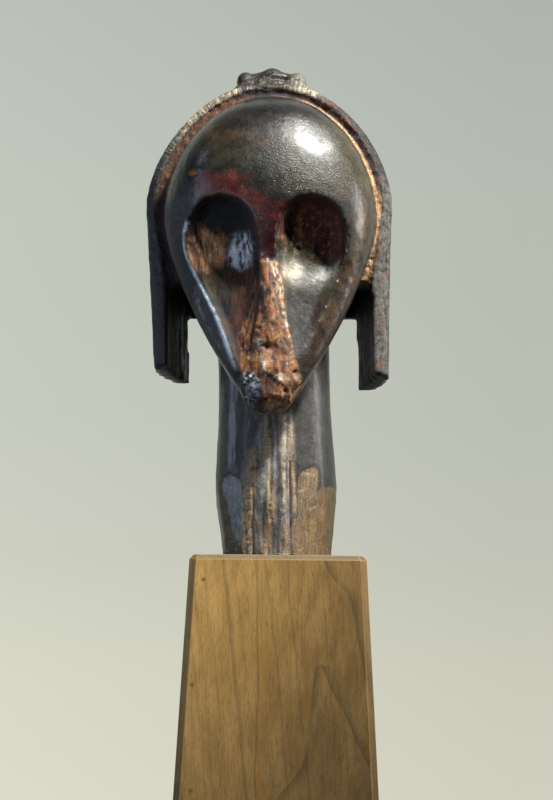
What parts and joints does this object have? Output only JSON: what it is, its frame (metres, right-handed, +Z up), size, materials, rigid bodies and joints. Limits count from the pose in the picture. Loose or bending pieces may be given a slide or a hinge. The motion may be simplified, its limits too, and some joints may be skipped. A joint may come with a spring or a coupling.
{
  "type": "reliquary guardian head on a plinth",
  "caption": "Dark carved wooden guardian head with hollowed eyes, lappet coiffure and long neck, standing free on a tapered square wooden plinth.",
  "frame": {"origin": "middle of the plinth's underside, under the middle of its square foot", "axes": "+Z up along the neck, -Y is where the plinth's front face looks, and the face looks 5 degrees from there towards -X"},
  "size_m": [0.2393, 0.1998, 0.7951],
  "materials": {
    "pedestal_walnut": "mid-brown walnut with plain and cathedral grain, oiled, with a soft low sheen",
    "dark_hardwood": "near-black oiled patina with red-brown worn zones, glossy on the brow and cheeks, dry and eroded on nose, mouth, chin and neck"
  },
  "bodies": {
    "root": {"pedestal": "pedestal_walnut", "reliquary_head": "dark_hardwood"}
  },
  "joints": []
}
